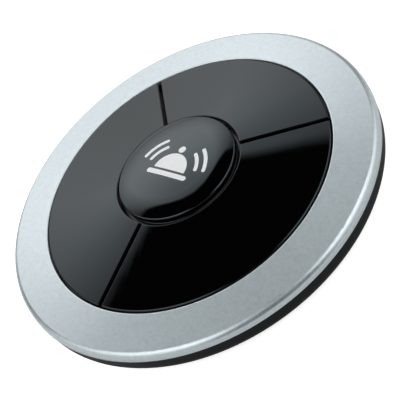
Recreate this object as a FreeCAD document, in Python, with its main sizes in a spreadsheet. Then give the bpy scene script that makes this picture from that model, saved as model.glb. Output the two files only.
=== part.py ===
import FreeCAD, Part
import math
import os
from types import SimpleNamespace

import Sketcher

# Waiter call button: a flat round desk unit with a silver bezel, a raised centre key and three
# sector keys round it, over a circuit board, four tact switches and a coin cell.
# Millimetres. +Z is up, the origin is on the desk under the middle, +Y is the top of the legend.

# ---------------------------------------------------------------------------------------------
# Driving sizes: name, value and meaning
# ---------------------------------------------------------------------------------------------

SIZES = (
    ("outer_diameter", 87.2, "across the bezel"),
    ("face_width", 9.6, "width of the bezel's face, from its opening to its wall"),
    ("face_drop", 1.6, "fall of the bezel's face from its inner edge to its rim"),
    ("rim_rounding", 1.3, "rounding between face and wall of the bezel"),
    ("lip_rounding", 0.25, "rounding of the bezel's inner edge"),
    ("bezel_skin", 1.2, "thickness of the bezel's face"),
    ("bezel_wall", 1.3, "thickness of the bezel's wall"),
    ("wall_height", 1.83, "height of the bezel's wall, from its joint with the base to its rim"),
    ("seat_gap", 0.1, "clearance between fixed parts"),
    ("tab_width", 5.0, "width of a bezel snap tab"),
    ("tab_wall", 0.9, "thickness of a bezel snap tab"),
    ("tab_barb", 0.5, "reach of a bezel snap tab under its ledge"),
    ("tab_count", 6, "number of bezel snap tabs"),

    ("base_inset", 0.3, "step from the bezel's wall in to the base's wall"),
    ("base_wall", 1.6, "thickness of the base's wall"),
    ("base_skin", 1.4, "thickness of the base's floor"),
    ("base_rounding", 2.0, "rounding of the base's lower edge"),
    ("underside_height", 1.0, "base's underside above the desk"),
    ("tongue_wall", 1.3, "thickness of the tongue inside the bezel's wall"),
    ("tongue_rise", 0.8, "height of the tongue above the joint"),
    ("ledge_depth", 0.6, "depth of the tongue's ledge under the joint"),
    ("rib_count", 8, "number of stiffening ribs on the floor"),
    ("rib_width", 1.0, "thickness of a rib"),
    ("rib_rise", 1.0, "height of a rib over the floor"),

    ("foot_diameter", 8.0, "across a rubber foot"),
    ("foot_inset", 8.5, "middle of a foot from the bezel's wall"),
    ("foot_recess", 0.5, "depth of a foot's recess"),
    ("foot_count", 4, "number of rubber feet"),
    ("foot_rounding", 0.3, "rounding of a foot's lower edge"),

    ("top_span", 95.5, "angle of the top key between its two grooves, degrees"),
    ("collar_rounding", 0.12, "rounding of the collar's upper edges"),
    ("dome_rise", 3.8, "rise of the sector keys from the bezel's edge to their inner edge"),
    ("key_skin", 1.2, "thickness of a sector key"),
    ("post_rise", 0.04, "least height of a sector key's post, on its outer side"),
    ("key_rounding", 0.3, "rounding of a sector key's upper edge"),
    ("groove_gap", 0.7, "gap between two sector keys"),
    ("ring_gap", 0.35, "gap between the sector keys and the bezel"),
    ("press_travel", 0.3, "travel of every key"),
    ("press_clearance", 0.2, "height left under a pressed sector key"),
    ("hook_width", 3.0, "width of a key hook"),
    ("hook_wall", 1.0, "thickness of a key hook's leg"),
    ("hook_barb", 0.5, "reach of a key hook under the frame"),
    ("hook_rise", 0.6, "height of a key hook's barb"),
    ("hook_gap", 0.25, "clearance round a key hook"),
    ("outer_hook_inset", 3.0, "outer hooks' legs from the sector keys' outer edge"),
    ("inner_hook_inset", 1.85, "inner hooks' legs from the sector keys' inner edge"),
    ("hook_spread", 0.6, "place of the outer hooks, as a share of the key's half angle"),

    ("centre_diameter", 27.5, "across the centre key"),
    ("centre_gap", 0.75, "gap between the centre key and the sector keys"),
    ("slide_gap", 0.25, "clearance between the centre key's stem and the collar"),
    ("collar_wall", 0.5, "thickness of the collar round the centre key's stem"),
    ("crown_rise", 6.0, "top of the centre key over the bezel's inner edge"),
    ("crown_radius", 90.0, "radius of the centre key's crown"),
    ("shoulder_start", 9.0, "radius at which the crown turns into the shoulder"),
    ("shoulder_radius", 22.0, "radius of the centre key's shoulder"),
    ("brim_height", 0.9, "height of the centre key's brim, which covers the collar"),
    ("brim_rounding", 0.3, "rounding of the centre key's brim"),
    ("centre_skin", 1.3, "thickness of the centre key"),
    ("flange_reach", 0.5, "reach of the centre key's flange under the collar"),
    ("flange_rise", 0.7, "height of the centre key's flange"),
    ("guide_width", 1.6, "width of the two ribs that keep the centre key from turning"),
    ("guide_rise", 0.6, "height of a guide rib inside the collar"),

    ("frame_skin", 0.9, "thickness of the key frame"),
    ("frame_room", 0.9, "from the key frame's edge to the bezel's snap tabs"),
    ("window_radius", 4.8, "radius of a switch window in the key frame"),

    ("board_inset", 5.0, "edge of the circuit board from the bezel's opening"),
    ("board_skin", 1.0, "thickness of the circuit board"),

    ("switch_side", 6.0, "side of a tact switch"),
    ("switch_case", 1.7, "height of a tact switch's case"),
    ("switch_floor", 0.4, "floor of a tact switch's case"),
    ("switch_plate", 0.25, "thickness of a tact switch's metal cover"),
    ("lead_width", 0.8, "width of a tact switch's terminal"),
    ("lead_reach", 1.0, "reach of a tact switch's terminal"),
    ("ear_width", 3.0, "width of the metal cover's ears"),
    ("ear_height", 1.1, "height of the metal cover's ears"),
    ("switch_height", 2.5, "plunger's top above the board"),
    ("plunger_diameter", 3.3, "across a plunger"),
    ("plunger_flange", 0.45, "reach of a plunger's flange"),
    ("plunger_gap", 0.2, "clearance round a plunger"),
    ("dome_sheet", 0.1, "thickness of a snap dome"),
    ("dome_height", 0.45, "height of a snap dome"),

    ("screw_inset", 6.8, "middle of a housing screw from the bezel's wall"),
    ("screw_count", 4, "number of housing screws"),
    ("screw_diameter", 2.0, "thread of a housing screw"),
    ("screw_head", 3.8, "head of a housing screw"),
    ("screw_head_rise", 1.3, "height of a housing screw's head"),
    ("pillar_wall", 1.3, "wall round a housing screw"),
    ("pillar_rise", 1.2, "height of a base pillar over the floor"),
    ("board_screw_inset", 2.8, "middle of a board screw from the circuit board's edge"),
    ("board_screw_diameter", 1.6, "thread of a board screw"),
    ("board_screw_head", 3.0, "head of a board screw"),
    ("board_screw_rise", 1.0, "height of a board screw's head"),
    ("recess_width", 0.5, "width of a cross recess"),
    ("recess_depth", 0.6, "depth of a cross recess"),
    ("recess_share", 0.65, "reach of a cross recess, as a share of the head"),

    ("cell_diameter", 20.0, "across the coin cell"),
    ("cell_height", 3.2, "thickness of the coin cell"),
    ("cell_gap", 0.1, "clearance over the battery door and under the contact"),
    ("cell_rounding", 0.5, "rounding of the coin cell's can"),
    ("cap_inset", 1.5, "step from the coin cell's can in to its cap"),
    ("cap_rise", 0.25, "rise of the coin cell's cap over its can"),
    ("door_skin", 1.0, "thickness of the battery door"),
    ("door_lap", 0.7, "reach of the battery door past its lugs"),
    ("door_gap", 0.25, "clearance round the battery door"),
    ("sill_rise", 0.45, "height of the door's sill over the floor"),
    ("neck_gap", 0.7, "clearance between the coin cell and the battery door's neck"),
    ("neck_wall", 0.9, "wall of the battery door's neck"),
    ("lug_reach", 1.3, "reach of a bayonet lug"),
    ("lug_rise", 0.6, "height of a bayonet lug"),
    ("lug_width", 4.0, "width of a bayonet lug"),
    ("lug_count", 3, "number of bayonet lugs"),
    ("door_turn", 40.0, "turn from locked to open, degrees"),
    ("slot_length", 13.0, "length of the coin slot"),
    ("slot_width", 1.8, "width of the coin slot"),
    ("slot_depth", 0.55, "depth of the coin slot"),
    ("well_wall", 1.0, "wall of the battery well"),
    ("holder_wall", 1.6, "wall of the battery holder"),
    ("clip_sheet", 0.2, "thickness of the battery contacts"),
    ("clip_width", 7.0, "width of the positive clip"),
    ("contact_radius", 5.0, "radius of the negative contact"),
    ("arm_slot", 0.4, "width of the slots that free the negative contact's arms"),

    ("chip_pitch", 1.27, "spacing of the chips' legs"),
    ("leg_width", 0.45, "width of a chip's leg"),
    ("leg_sheet", 0.2, "thickness of a chip's leg"),
    ("leg_reach", 1.0, "reach of a chip's leg"),
    ("encoder_length", 5.0, "length of the encoder chip"),
    ("encoder_width", 3.9, "width of the encoder chip"),
    ("encoder_height", 1.5, "height of the encoder chip"),
    ("encoder_legs", 4, "legs on each side of the encoder chip"),
    ("resonator_side", 5.0, "side of the resonator"),
    ("resonator_height", 1.35, "height of the resonator"),
    ("lid_inset", 0.45, "step from the resonator's tray in to its lid"),
    ("lid_rise", 0.45, "rise of the resonator's lid over its tray"),
    ("transistor_length", 2.9, "length of the transistor"),
    ("transistor_width", 1.3, "width of the transistor"),
    ("transistor_height", 1.0, "height of the transistor"),
    ("chip_room", 4.6, "middle of a chip from the battery well's outside"),
    ("small_length", 1.6, "length of a chip resistor or capacitor"),
    ("small_width", 0.8, "width of a chip resistor or capacitor"),
    ("resistor_height", 0.45, "height of a chip resistor"),
    ("capacitor_height", 0.8, "height of a chip capacitor"),
    ("small_pitch", 2.0, "spacing of the small chips"),
    ("small_count", 4, "number of resistors, and of capacitors"),
    ("end_length", 0.3, "length of a small chip's end caps"),
    ("end_sheet", 0.05, "rise of the end caps over a small chip"),
    ("encoder_angle", 30.0, "place of the encoder chip round the board, degrees"),
    ("resonator_angle", 180.0, "place of the resonator, degrees"),
    ("transistor_angle", 110.0, "place of the transistor, degrees"),
    ("resistor_angle", 330.0, "place of the chip resistors, degrees"),
    ("capacitor_angle", 75.0, "place of the chip capacitors, degrees"),

    ("antenna_inset", 2.2, "loop antenna from the circuit board's edge"),
    ("antenna_wire", 0.8, "wire of the loop antenna"),
    ("antenna_drop", 0.9, "loop antenna's centre line under the board"),
    ("antenna_start", 150.0, "angle at which the loop antenna starts, degrees"),
    ("antenna_sweep", 106.0, "angle that the loop antenna covers, degrees"),
)


class Size:
    """A size, known both as a number and as an expression on the sheet's cells."""

    def __init__(self, value, text):
        self.value = float(value)
        self.text = text

    def __add__(self, other):
        other = sized(other)
        return Size(self.value + other.value, f"({self.text} + {other.text})")

    def __sub__(self, other):
        other = sized(other)
        return Size(self.value - other.value, f"({self.text} - {other.text})")

    def __mul__(self, other):
        other = sized(other)
        return Size(self.value * other.value, f"({self.text} * {other.text})")

    def __truediv__(self, other):
        other = sized(other)
        return Size(self.value / other.value, f"({self.text} / {other.text})")

    def __rsub__(self, other):
        return sized(other) - self

    def __rtruediv__(self, other):
        return sized(other) / self

    def __neg__(self):
        return sized(0.0) - self

    __radd__ = __add__
    __rmul__ = __mul__


def sized(number):
    """The number as a Size."""
    return number if isinstance(number, Size) else Size(number, repr(float(number)))


def root(square):
    """Square root of a Size."""
    return Size(math.sqrt(square.value), f"sqrt({square.text})")


def cosine(angle):
    """Cosine of an angle in degrees."""
    return Size(math.cos(math.radians(angle.value)), f"cos({angle.text} * 1 deg)")


def sine(angle):
    """Sine of an angle in degrees."""
    return Size(math.sin(math.radians(angle.value)), f"sin({angle.text} * 1 deg)")


def polar(radius, angle):
    """Point at a radius and an angle in degrees."""
    angle = sized(angle)
    return radius * cosine(angle), radius * sine(angle)


def turned(x, y, angle):
    """Point x, y turned about the origin by an angle in degrees."""
    angle = sized(angle)
    return x * cosine(angle) - y * sine(angle), x * sine(angle) + y * cosine(angle)


DOC = FreeCAD.newDocument("call_button")
SHEET = DOC.addObject("Spreadsheet::Sheet", "sizes")
S = SimpleNamespace()
for row, (alias, amount, meaning) in enumerate(SIZES, 1):
    SHEET.set(f"A{row}", meaning)
    SHEET.set(f"B{row}", str(amount))
    SHEET.setAlias(f"B{row}", alias)
    setattr(S, alias, Size(amount, f"sizes.{alias}"))
DOC.recompute()

# ---------------------------------------------------------------------------------------------
# Sketches and bodies
# ---------------------------------------------------------------------------------------------

# FreeCAD's numbers for the points of an edge and for the axes of a sketch
START, END, MIDDLE = range(1, 4)
X_AXIS, Y_AXIS = range(-1, -3, -1)
NEAR = 1e-4
FULL_TURN = 360.0


class Bow:
    """An arc to the next point of an outline; it turns left, or right with turn -1."""

    def __init__(self, radius, turn=1):
        self.radius = radius
        self.turn = turn


def bind(sketch, kind, *where, size):
    """Add a constraint whose value comes from the sheet."""
    index = sketch.addConstraint(Sketcher.Constraint(kind, *where, size.value))
    sketch.setExpression(f"Constraints[{index}]", size.text)


def pin_point(sketch, edge, end, x, y):
    """Fix a point of the sketch; a plain 0 puts it on the axis."""
    for kind, axis, place in (("DistanceX", Y_AXIS, x), ("DistanceY", X_AXIS, y)):
        if isinstance(place, Size):
            bind(sketch, kind, edge, end, size=place)
        else:
            sketch.addConstraint(Sketcher.Constraint("PointOnObject", edge, end, axis))


def outline(sketch, points):
    """Closed outline through points (x, y) or (x, y, Bow), in order."""
    spots = [FreeCAD.Vector(sized(point[0]).value, sized(point[1]).value, 0) for point in points]
    first = sketch.GeometryCount
    ends = []
    for index, point in enumerate(points):
        here, there = spots[index], spots[(index + 1) % len(spots)]
        if len(point) == 2:
            sketch.addGeometry(Part.LineSegment(here, there), False)
            ends.append((START, END))
            continue
        bow = point[2]
        chord = there - here
        left = FreeCAD.Vector(-chord.y, chord.x, 0).normalize()
        rise = math.sqrt(bow.radius.value ** 2 - (chord.Length / 2) ** 2)
        middle = (here + there) / 2 + left * rise * bow.turn
        low, high = (here, there) if bow.turn > 0 else (there, here)
        low_angle = math.atan2(low.y - middle.y, low.x - middle.x)
        high_angle = math.atan2(high.y - middle.y, high.x - middle.x)
        ring = Part.Circle(middle, FreeCAD.Vector(0, 0, 1), bow.radius.value)
        sketch.addGeometry(Part.ArcOfCircle(ring, low_angle, high_angle), False)
        ends.append((START, END) if bow.turn > 0 else (END, START))
    for index, point in enumerate(points):
        after = (index + 1) % len(points)
        sketch.addConstraint(Sketcher.Constraint(
            "Coincident", first + index, ends[index][1], first + after, ends[after][0]))
        pin_point(sketch, first + index, ends[index][0], point[0], point[1])
        if len(point) == 3:
            bind(sketch, "Radius", first + index, size=point[2].radius)


def circle(sketch, x, y, radius):
    """Circle with its centre at x, y."""
    spot = FreeCAD.Vector(sized(x).value, sized(y).value, 0)
    edge = sketch.addGeometry(Part.Circle(spot, FreeCAD.Vector(0, 0, 1), radius.value), False)
    pin_point(sketch, edge, MIDDLE, x, y)
    bind(sketch, "Radius", edge, size=radius)


def box(sketch, x_low, x_high, y_low, y_high, turn=None):
    """Rectangle between two x and two y, turned about the origin."""
    corners = [(x_low, y_low), (x_high, y_low), (x_high, y_high), (x_low, y_high)]
    if turn is not None:
        corners = [turned(x, y, turn) for x, y in corners]
    outline(sketch, corners)


def cross(sketch, x, y, reach, width):
    """Cross recess of a screw with its middle at x, y."""
    half = width / 2
    quarter = ((reach, -half), (reach, half), (half, half))
    points = []
    for _ in range(4):
        points += [(x + along, y + aside) for along, aside in quarter]
        quarter = tuple((-aside, along) for along, aside in quarter)
    outline(sketch, points)


class Piece:
    """A body of the document, with short calls for its sketches and features."""

    def __init__(self, label):
        self.label = label
        self.body = DOC.addObject("PartDesign::Body", label)
        self.body.Label = label
        self.origin = {part.Role: part for part in self.body.Origin.OriginFeatures}
        self.count = 0
        self.before = 0.0

    def feature(self, kind, name):
        """New feature of the body."""
        self.count += 1
        return self.body.newObject(kind, f"{self.label}_{name}_{self.count}")

    def sketch(self, plane="XY_Plane", lift=None, turn=None):
        """Empty sketch on an origin plane; turn swings an upright plane about the Z axis."""
        sketch = self.feature("Sketcher::SketchObject", "sketch")
        sketch.AttachmentSupport = [(self.origin[plane], "")]
        sketch.MapMode = "FlatFace"
        if lift is not None:
            sketch.setExpression("AttachmentOffset.Base.z", lift.text)
        if turn is not None:
            up = FreeCAD.Vector(0, 1, 0)
            sketch.AttachmentOffset = FreeCAD.Placement(
                FreeCAD.Vector(), FreeCAD.Rotation(up, turn.value))
            sketch.setExpression("AttachmentOffset.Rotation.Angle", f"{turn.text} * 1 deg")
        return sketch

    def volume(self):
        """Volume of the body so far."""
        shape = self.body.Shape
        return 0.0 if shape.isNull() else shape.Volume

    def profiled(self, kind, name, sketch):
        """New feature that is made from a sketch."""
        self.before = self.volume()
        feature = self.feature(kind, name)
        feature.Profile = sketch
        return feature

    def finished(self, feature, cuts=False):
        """Recompute, and stop if the feature adds or cuts nothing."""
        DOC.recompute()
        change = self.volume() - self.before
        if (change > -NEAR) if cuts else (change < NEAR):
            raise ValueError(f"{feature.Name} changes the volume by {change}")
        return feature

    def pad(self, name, sketch, length, both_ways=False):
        """Raise a sketch along its normal, or both ways from it."""
        feature = self.profiled("PartDesign::Pad", name, sketch)
        feature.Midplane = both_ways
        feature.setExpression("Length", length.text)
        return self.finished(feature)

    def pocket(self, name, sketch, depth):
        """Sink a sketch against its normal."""
        feature = self.profiled("PartDesign::Pocket", name, sketch)
        feature.setExpression("Length", depth.text)
        return self.finished(feature, cuts=True)

    def revolve(self, name, sketch, sweep=None):
        """Turn a sketch about the upright axis, all round or evenly both ways."""
        feature = self.profiled("PartDesign::Revolution", name, sketch)
        feature.ReferenceAxis = (sketch, ["V_Axis"])
        feature.Angle = FULL_TURN
        if sweep is not None:
            feature.Midplane = True
            feature.setExpression("Angle", f"{sweep.text} * 1 deg")
        return self.finished(feature)

    def groove(self, name, sketch):
        """Cut a sketch all round the upright axis."""
        feature = self.profiled("PartDesign::Groove", name, sketch)
        feature.ReferenceAxis = (sketch, ["V_Axis"])
        feature.Angle = FULL_TURN
        return self.finished(feature, cuts=True)

    def round_off(self, name, edges, radius):
        """Fillet the named edges of the last feature."""
        if not edges:
            raise ValueError(f"{self.label}: no edges for {name}")
        base = self.body.Tip
        feature = self.feature("PartDesign::Fillet", name)
        feature.Base = (base, edges)
        feature.setExpression("Radius", radius.text)
        DOC.recompute()
        return feature

    def repeat(self, name, features, count):
        """Copy features evenly round the upright axis."""
        feature = self.feature("PartDesign::PolarPattern", name)
        feature.Originals = features
        feature.Axis = (self.origin["Z_Axis"], [""])
        feature.Angle = FULL_TURN
        feature.setExpression("Occurrences", count.text)
        self.body.Tip = feature
        DOC.recompute()
        return feature

    def row(self, name, feature, length, count):
        """Copy a feature evenly along the X axis over a length."""
        pattern = self.feature("PartDesign::LinearPattern", name)
        pattern.Originals = [feature]
        pattern.Direction = (self.origin["X_Axis"], [""])
        pattern.setExpression("Length", length.text)
        pattern.setExpression("Occurrences", count.text)
        self.body.Tip = pattern
        DOC.recompute()
        return pattern

    def place(self, x=None, y=None, z=None, turn=None):
        """Bind the body's placement."""
        for axis, amount in (("x", x), ("y", y), ("z", z)):
            if amount is not None:
                self.body.setExpression(f"Placement.Base.{axis}", amount.text)
        if turn is not None:
            self.body.setExpression("Placement.Rotation.Angle", f"{turn.text} * 1 deg")
        DOC.recompute()

    def rings(self, radius, level):
        """Names of the round edges of a radius at a level."""
        names = []
        for index, edge in enumerate(self.body.Shape.Edges, 1):
            if edge.Degenerated or not isinstance(edge.Curve, Part.Circle):
                continue
            curve = edge.Curve
            if abs(curve.Radius - radius.value) < NEAR and abs(curve.Center.z - level.value) < NEAR:
                names.append(f"Edge{index}")
        return names

    def face_edges(self, chosen):
        """Names of the edges of the faces that a test picks."""
        shape = self.body.Shape
        rims = [edge for face in shape.Faces if chosen(face) for edge in face.Edges]
        return [f"Edge{index}" for index, edge in enumerate(shape.Edges, 1)
                if any(edge.isSame(rim) for rim in rims)]


# ---------------------------------------------------------------------------------------------
# Sizes that follow from the driving ones
# ---------------------------------------------------------------------------------------------

OUTER = S.outer_diameter / 2
OPENING = OUTER - S.face_width
CENTRE_EDGE = S.centre_diameter / 2
COLLAR_INNER = CENTRE_EDGE - S.collar_wall
STEM_EDGE = COLLAR_INNER - S.slide_gap
SECTOR_INNER = CENTRE_EDGE + S.centre_gap
SECTOR_OUTER = OPENING - S.ring_gap
SWITCH_CIRCLE = (SECTOR_INNER + SECTOR_OUTER) / 2

BEZEL_INNER = OUTER - S.bezel_wall
TONGUE_OUTER = BEZEL_INNER - S.seat_gap
TONGUE_INNER = TONGUE_OUTER - S.tongue_wall
TAB_OUTER = TONGUE_INNER - S.seat_gap
TAB_INNER = TAB_OUTER - S.tab_wall
BASE_OUTER = OUTER - S.base_inset
BASE_INNER = BASE_OUTER - S.base_wall
FLOOR_TOP = S.underside_height + S.base_skin

FOOT_CIRCLE = OUTER - S.foot_inset
FIRST_FOOT = FULL_TURN / 2 / S.foot_count

DOOR_TOP = S.underside_height + S.door_skin
CELL_EDGE = S.cell_diameter / 2
CELL_BOTTOM = DOOR_TOP + S.cell_gap
CELL_TOP = CELL_BOTTOM + S.cell_height
SILL_TOP = FLOOR_TOP + S.sill_rise
NECK_INNER = CELL_EDGE + S.neck_gap
NECK_OUTER = NECK_INNER + S.neck_wall
LUG_BOTTOM = SILL_TOP + S.cell_gap
LUG_TOP = LUG_BOTTOM + S.lug_rise
LUG_EDGE = NECK_OUTER + S.lug_reach
DOOR_EDGE = LUG_EDGE + S.door_lap
WELL_INNER = LUG_EDGE + S.door_gap * 2
WELL_OUTER = WELL_INNER + S.well_wall

BOARD_BOTTOM = CELL_TOP + S.clip_sheet
BOARD_TOP = BOARD_BOTTOM + S.board_skin
BOARD_EDGE = OPENING - S.board_inset
BOARD_SCREW_CIRCLE = BOARD_EDGE - S.board_screw_inset
BOARD_SCREW_RADIUS = S.board_screw_diameter / 2
ANTENNA_CIRCLE = BOARD_EDGE - S.antenna_inset
CHIP_CIRCLE = WELL_OUTER + S.chip_room
PLUNGER_TOP = BOARD_TOP + S.switch_height
HOLDER_INNER = CELL_EDGE + S.clip_sheet + S.cell_gap
HOLDER_OUTER = HOLDER_INNER + S.holder_wall
HOLDER_BOTTOM = LUG_TOP + S.plunger_gap

LEGEND_UP = FULL_TURN / 4
LOWER_SPAN = (FULL_TURN - S.top_span) / 2
SIDE_STEP = (S.top_span + LOWER_SPAN) / 2
SECTORS = {
    "top": (LEGEND_UP + S.top_span * 0, S.top_span),
    "left": (LEGEND_UP + SIDE_STEP, LOWER_SPAN),
    "right": (LEGEND_UP - SIDE_STEP, LOWER_SPAN),
}
GROOVES = (LEGEND_UP - S.top_span / 2, LEGEND_UP + S.top_span / 2, LEGEND_UP + FULL_TURN / 2)


def keys_rise(radius):
    """Rise of the sector keys' upper face over the bezel's inner edge at a radius."""
    return S.dome_rise * (OPENING - radius) / (OPENING - SECTOR_INNER)


# the keys, and the bezel's inner edge with them, stand as high as what is stacked under them
POST_EDGE = SWITCH_CIRCLE + S.plunger_diameter / 2
FACE_HEIGHT = PLUNGER_TOP + S.post_rise + S.key_skin - keys_rise(POST_EDGE)
RIM_HEIGHT = FACE_HEIGHT - S.face_drop
PARTING = RIM_HEIGHT - S.wall_height
TONGUE_TOP = PARTING + S.tongue_rise
LEDGE = PARTING - S.ledge_depth


def bezel_level(radius):
    """Height of the bezel's face at a radius."""
    return FACE_HEIGHT - S.face_drop * (radius - OPENING) / S.face_width


def key_level(radius):
    """Height of the sector keys' upper face at a radius."""
    return FACE_HEIGHT + keys_rise(radius)


def frame_top(radius):
    """Height of the key frame's upper face under the keys."""
    return key_level(radius) - S.key_skin - S.press_travel - S.press_clearance


def frame_bottom(radius):
    """Height of the key frame's underside under the keys."""
    return frame_top(radius) - S.frame_skin


def under_bezel(radius):
    """Height just under the bezel's skin at a radius."""
    return bezel_level(radius) - S.bezel_skin - S.seat_gap


FRAME_EDGE = TAB_INNER - S.frame_room
FLANGE_TOP = under_bezel(FRAME_EDGE)
FLANGE_BOTTOM = FLANGE_TOP - S.frame_skin
COLLAR_BOTTOM = frame_bottom(CENTRE_EDGE)
SCREW_CIRCLE = OUTER - S.screw_inset
SCREW_RADIUS = S.screw_diameter / 2
SCREW_BOSS_EDGE = SCREW_RADIUS + S.pillar_wall
PILLAR_TOP = FLOOR_TOP + S.pillar_rise
BOARD_BOSS_EDGE = BOARD_SCREW_RADIUS + S.pillar_wall
BOARD_BOSS_TOP = frame_top(BOARD_SCREW_CIRCLE + BOARD_BOSS_EDGE)
BOARD_BORE_TOP = BOARD_BOSS_TOP - S.frame_skin / 2
CLEAR = FACE_HEIGHT + S.dome_rise + S.crown_rise

# the centre key's crown and shoulder are two arcs that meet without a corner
CROWN_TOP = FACE_HEIGHT + S.crown_rise
CROWN_MIDDLE = CROWN_TOP - S.crown_radius
JOINT_LEVEL = CROWN_MIDDLE + root(
    S.crown_radius * S.crown_radius - S.shoulder_start * S.shoulder_start)
SHOULDER_SHARE = 1 - S.shoulder_radius / S.crown_radius
SHOULDER_MIDDLE = CROWN_MIDDLE + (JOINT_LEVEL - CROWN_MIDDLE) * SHOULDER_SHARE
SHOULDER_REACH = CENTRE_EDGE - S.shoulder_start * SHOULDER_SHARE
BRIM_TOP = SHOULDER_MIDDLE + root(
    S.shoulder_radius * S.shoulder_radius - SHOULDER_REACH * SHOULDER_REACH)
BRIM_BOTTOM = BRIM_TOP - S.brim_height
COLLAR_TOP = BRIM_BOTTOM - S.press_travel - S.press_clearance

# ---------------------------------------------------------------------------------------------
# Housing
# ---------------------------------------------------------------------------------------------


def bezel_ring():
    """Silver bezel: sloping face, rounded rim, upright wall and snap tabs inside."""
    piece = Piece("bezel_ring")
    sketch = piece.sketch("XZ_Plane")
    outline(sketch, [
        (OPENING, FACE_HEIGHT - S.bezel_skin),
        (BEZEL_INNER, bezel_level(BEZEL_INNER) - S.bezel_skin),
        (BEZEL_INNER, PARTING),
        (OUTER, PARTING),
        (OUTER, RIM_HEIGHT),
        (OPENING, FACE_HEIGHT),
    ])
    piece.revolve("shell", sketch)
    piece.round_off("rim", piece.rings(OUTER, RIM_HEIGHT), S.rim_rounding)
    piece.round_off("lip", piece.rings(OPENING, FACE_HEIGHT), S.lip_rounding)

    barb_top = LEDGE - S.seat_gap
    barb_bottom = barb_top - S.tab_barb
    tab_end = barb_bottom - S.tab_barb
    root_level = bezel_level(TAB_OUTER) - S.bezel_skin / 2
    first_tab = FULL_TURN / 4 / S.tab_count
    sketch = piece.sketch("XZ_Plane", turn=first_tab)
    outline(sketch, [
        (TAB_INNER, tab_end),
        (TAB_OUTER, tab_end),
        (TAB_OUTER + S.tab_barb, barb_bottom),
        (TAB_OUTER + S.tab_barb, barb_top),
        (TAB_OUTER, barb_top),
        (TAB_OUTER, root_level),
        (TAB_INNER, root_level),
    ])
    tab = piece.pad("tab", sketch, S.tab_width, both_ways=True)
    piece.repeat("tabs", [tab], S.tab_count)
    return piece


def base_shell():
    """Black base: floor, wall, tongue with its ledge, battery well, pillars and ribs."""
    piece = Piece("base_shell")
    sketch = piece.sketch("XZ_Plane")
    outline(sketch, [
        (0, S.underside_height),
        (BASE_OUTER, S.underside_height),
        (BASE_OUTER, PARTING),
        (TONGUE_OUTER, PARTING),
        (TONGUE_OUTER, TONGUE_TOP),
        (TONGUE_INNER, TONGUE_TOP),
        (TONGUE_INNER, LEDGE),
        (BASE_INNER, LEDGE),
        (BASE_INNER, FLOOR_TOP),
        (0, FLOOR_TOP),
    ])
    piece.revolve("tray", sketch)
    piece.round_off("edge", piece.rings(BASE_OUTER, S.underside_height), S.base_rounding)

    rib_inner = WELL_INNER + S.well_wall / 2
    rib_outer = (BASE_INNER + TONGUE_INNER) / 2
    first_rib = FULL_TURN / 2 / S.rib_count
    sketch = piece.sketch(lift=FLOOR_TOP)
    box(sketch, rib_inner, rib_outer, -S.rib_width / 2, S.rib_width / 2, turn=first_rib)
    rib = piece.pad("rib", sketch, S.rib_rise)
    piece.repeat("ribs", [rib], S.rib_count)

    sketch = piece.sketch(lift=FLOOR_TOP)
    circle(sketch, 0, 0, WELL_INNER)
    circle(sketch, 0, 0, WELL_OUTER)
    piece.pad("well", sketch, BOARD_BOTTOM - S.seat_gap - FLOOR_TOP)

    sketch = piece.sketch(lift=FLOOR_TOP)
    circle(sketch, SCREW_CIRCLE, 0, S.screw_head / 2 + S.pillar_wall)
    pillar = piece.pad("pillar", sketch, S.pillar_rise)
    piece.repeat("pillars", [pillar], S.screw_count)
    sketch = piece.sketch(lift=PILLAR_TOP)
    circle(sketch, SCREW_CIRCLE, 0, SCREW_RADIUS + S.seat_gap)
    hole = piece.pocket("screw_hole", sketch, PILLAR_TOP)
    sketch = piece.sketch(lift=S.underside_height + S.seat_gap + S.screw_head_rise)
    circle(sketch, SCREW_CIRCLE, 0, S.screw_head / 2 + S.seat_gap)
    counterbore = piece.pocket("counterbore", sketch, S.screw_head_rise + S.underside_height)
    piece.repeat("screw_holes", [hole, counterbore], S.screw_count)

    sketch = piece.sketch(lift=S.underside_height + S.foot_recess)
    circle(sketch, *polar(FOOT_CIRCLE, FIRST_FOOT), S.foot_diameter / 2 + S.seat_gap)
    recess = piece.pocket("foot_recess", sketch, S.underside_height)
    piece.repeat("foot_recesses", [recess], S.foot_count)

    sketch = piece.sketch(lift=FLOOR_TOP)
    circle(sketch, 0, 0, WELL_INNER + S.well_wall / 2)
    piece.pad("sill", sketch, S.sill_rise)
    sketch = piece.sketch(lift=DOOR_TOP + S.seat_gap / 2)
    circle(sketch, 0, 0, DOOR_EDGE + S.door_gap)
    piece.pocket("door_recess", sketch, DOOR_TOP)
    sketch = piece.sketch(lift=SILL_TOP)
    circle(sketch, 0, 0, NECK_OUTER + S.door_gap)
    piece.pocket("door_opening", sketch, SILL_TOP)
    half = S.lug_width / 2 + S.door_gap
    sketch = piece.sketch(lift=SILL_TOP)
    box(sketch, NECK_INNER, LUG_EDGE + S.door_gap, -half, half, turn=S.door_turn)
    notch = piece.pocket("lug_notch", sketch, SILL_TOP)
    piece.repeat("lug_notches", [notch], S.lug_count)
    return piece


def rubber_feet():
    """Rubber feet, seated in the base's recesses."""
    piece = Piece("rubber_feet")
    radius = S.foot_diameter / 2
    sketch = piece.sketch()
    for angle in spread(S.foot_count):
        circle(sketch, *polar(FOOT_CIRCLE, angle + FIRST_FOOT), radius)
    piece.pad("foot", sketch, S.underside_height + S.foot_recess)
    piece.round_off("foot_edge", piece.rings(radius, sized(0)), S.foot_rounding)
    return piece


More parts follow.
